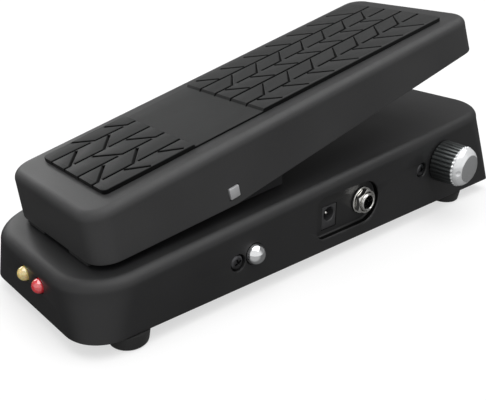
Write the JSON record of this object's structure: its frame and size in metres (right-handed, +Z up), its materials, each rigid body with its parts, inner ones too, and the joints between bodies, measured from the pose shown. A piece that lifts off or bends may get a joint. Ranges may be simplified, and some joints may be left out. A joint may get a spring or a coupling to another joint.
{
  "type": "guitar effects pedal",
  "caption": "Rocker effects pedal: a wedge housing on rubber feet, a sprung foot treadle with a rubber mat, a rotary knob, a push button, sockets and indicator lamps.",
  "frame": {"origin": "centre of the footprint of the whole pedal's bounding box, on the floor plane under the feet", "axes": "+Y from the heel end to the toe end, +X to the side with the knob, button and power socket, +Z up"},
  "size_m": [0.1036, 0.253, 0.0971],
  "materials": {
    "acetal": "satin",
    "amber_lens": "gloss",
    "battery_wrap": "gloss",
    "black_plastic": "matte",
    "black_screw": "satin black oxide",
    "board_green": "satin",
    "bracket_paint": "matte black coat",
    "bumper_rubber": "matte",
    "chrome": "polished",
    "clear_lens": "gloss",
    "foot_rubber": "matte",
    "grey_plastic": "matte",
    "housing_paint": "satin black powder coat",
    "nickel": "polished nickel",
    "pot_steel": "satin",
    "red_lens": "gloss",
    "shaft_steel": "satin",
    "spring_steel": "satin",
    "tread_rubber": "matte",
    "treadle_paint": "satin black powder coat",
    "wire_sleeve": "gloss",
    "zinc_plate": "satin zinc plate"
  },
  "bodies": {
    "base": {"base_housing": "housing_paint", "battery": "battery_wrap", "battery_clip": "zinc_plate", "battery_lead": "wire_sleeve", "battery_snap": "black_plastic", "board_screw_heel_left": "zinc_plate", "board_screw_heel_right": "zinc_plate", "board_screw_toe_left": "zinc_plate", "board_screw_toe_right": "zinc_plate", "bottom_plate": "zinc_plate", "bracket_screw_heel": "zinc_plate", "bracket_screw_toe": "zinc_plate", "button_switch": "grey_plastic", "control_pot": "pot_steel", "foot_heel_left": "foot_rubber", "foot_heel_right": "foot_rubber", "foot_screw_heel_left": "black_screw", "foot_screw_heel_right": "black_screw", "foot_screw_toe_left": "black_screw", "foot_screw_toe_right": "black_screw", "foot_toe_left": "foot_rubber", "foot_toe_right": "foot_rubber", "heel_bumper_left": "bumper_rubber", "heel_bumper_right": "bumper_rubber", "input_jack": "black_plastic", "input_jack_nut": "nickel", "input_jack_washer": "nickel", "led_amber": "amber_lens", "led_board": "board_green", "led_lead": "wire_sleeve", "led_red": "red_lens", "main_board": "board_green", "opto_cell": "grey_plastic", "opto_fork": "black_plastic", "opto_lamp": "clear_lens", "output_jack": "black_plastic", "output_jack_nut": "nickel", "output_jack_washer": "nickel", "pivot_bracket": "bracket_paint", "pot_lead": "wire_sleeve", "pot_nut": "nickel", "power_pin": "nickel", "power_socket": "black_plastic", "return_spring": "spring_steel", "side_screw_heel_left": "black_screw", "side_screw_heel_right": "black_screw", "side_screw_toe_left": "black_screw", "side_screw_toe_right": "black_screw"},
    "treadle": {"treadle_shell": "treadle_paint", "tread_mat": "tread_rubber", "pivot_shaft": "shaft_steel", "pivot_bush_left": "acetal", "pivot_bush_right": "acetal", "shutter_vane": "black_plastic", "toe_bumper_left": "bumper_rubber", "toe_bumper_right": "bumper_rubber"},
    "knob": {"control_knob": "chrome", "pot_shaft": "shaft_steel"},
    "button": {"button_cap": "chrome"}
  },
  "joints": [
    {"name": "treadle_rock", "type": "hinge", "parent": "base", "child": "treadle", "pos_m": [-0.00752, -0.05125, 0.04475], "axis": [1, 0, 0], "range_deg": [-10.5, 0], "stiffness_Nm_per_rad": 1.6, "springref_deg": 7.16, "deforming": ["return_spring"]},
    {"name": "knob_turn", "type": "hinge", "parent": "base", "child": "knob", "pos_m": [0.03587, 0.07825, 0.0285], "axis": [1, 0, 0], "range_deg": [-150, 150]},
    {"name": "button_press", "type": "slide", "parent": "base", "child": "button", "axis": [-1, 0, 0], "range_m": [0, 0.002], "stiffness_N_per_m": 1500, "springref_m": -0.0005}
  ]
}
